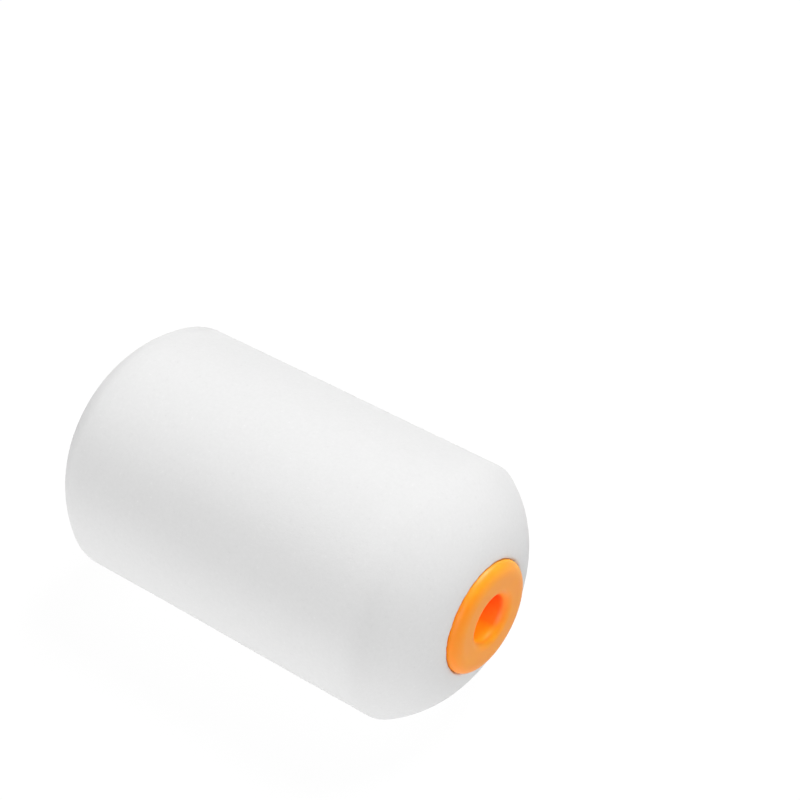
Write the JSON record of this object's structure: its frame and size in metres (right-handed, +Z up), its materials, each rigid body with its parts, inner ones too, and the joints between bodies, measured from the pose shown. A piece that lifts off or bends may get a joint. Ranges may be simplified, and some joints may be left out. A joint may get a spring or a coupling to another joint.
{
  "type": "mini paint roller",
  "caption": "Mini paint roller sleeve: white foam cylinder with domed ends on a plastic core, closed at its far end, with a bored orange cap at the open end that runs on a wire frame.",
  "frame": {"origin": "on the spin axis, midway along the overall length", "axes": "+X along the spin axis, out of the bored cap; +Z up as the sleeve lies on its side"},
  "size_m": [0.0616, 0.035, 0.035],
  "materials": {
    "foam": "matte fine-pored foam, ground to shape",
    "orange_plastic": "satin, slightly translucent moulded polypropylene",
    "natural_plastic": "uncoloured polypropylene, slightly translucent"
  },
  "bodies": {
    "root": {"foam_cover": "foam", "core_tube": "natural_plastic", "end_cap": "orange_plastic", "retaining_bush": "orange_plastic", "core_end_plug": "natural_plastic"}
  },
  "joints": []
}
